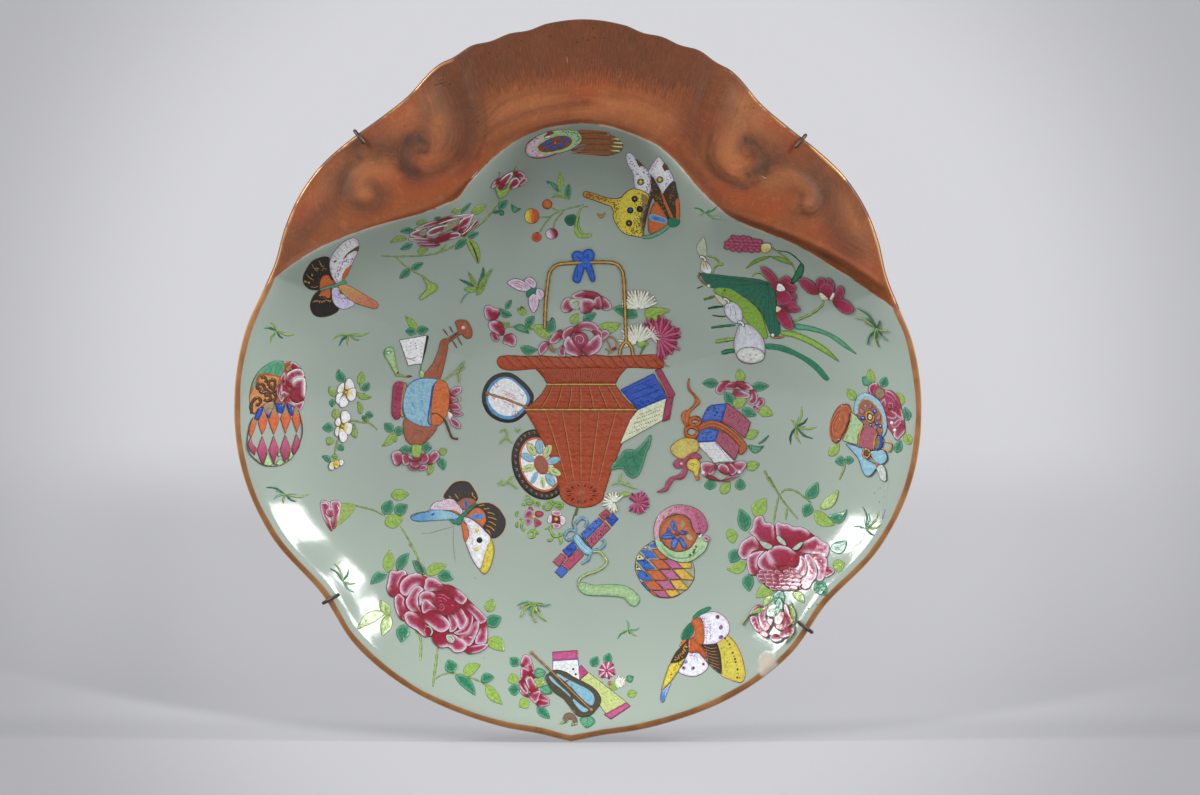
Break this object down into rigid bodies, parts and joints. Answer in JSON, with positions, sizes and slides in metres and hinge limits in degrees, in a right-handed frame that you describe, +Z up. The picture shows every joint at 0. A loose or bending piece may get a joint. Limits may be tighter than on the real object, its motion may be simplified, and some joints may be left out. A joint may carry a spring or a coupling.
{
  "type": "shell-shaped dish",
  "caption": "Shell-shaped glazed porcelain dish with a broad moulded lip and a foot ring, held by a sprung wire plate hanger with rim hooks and a loop for a wall nail.",
  "frame": {"origin": "the point inside the crown of the hanger's loop that bears on the wall nail", "axes": "+Z up the wall, from the dish's pointed tip to its lip; -Y out from the wall, the way the dish faces; +X to the viewer's right, across the mirror plane of the shell"},
  "size_m": [0.2576, 0.0543, 0.2706],
  "materials": {
    "porcelain": "glossy pale celadon glaze with an iron-red and gilt lip and painted enamels",
    "hanger_wire": "dark oxidised drawn steel wire",
    "spring_wire": "dull drawn spring wire"
  },
  "bodies": {
    "upper_wire": {"upper_hanger_wire": "hanger_wire", "left_spring": "spring_wire", "right_spring": "spring_wire"},
    "dish": {"porcelain_dish": "porcelain"},
    "lower_wire": {"lower_hanger_wire": "hanger_wire"}
  },
  "joints": [
    {"name": "dish_slip", "type": "slide", "parent": "upper_wire", "child": "dish", "axis": [0, 0, -1], "range_m": [0, 0.007], "stiffness_N_per_m": 500, "springref_m": -0.03, "deforming": ["left_spring", "right_spring"]},
    {"name": "lower_wire_pull", "type": "slide", "parent": "dish", "child": "lower_wire", "axis": [0, 0, -1], "range_m": [0, 0.008], "stiffness_N_per_m": 300, "springref_m": -0.03, "deforming": ["left_spring", "right_spring"]}
  ]
}
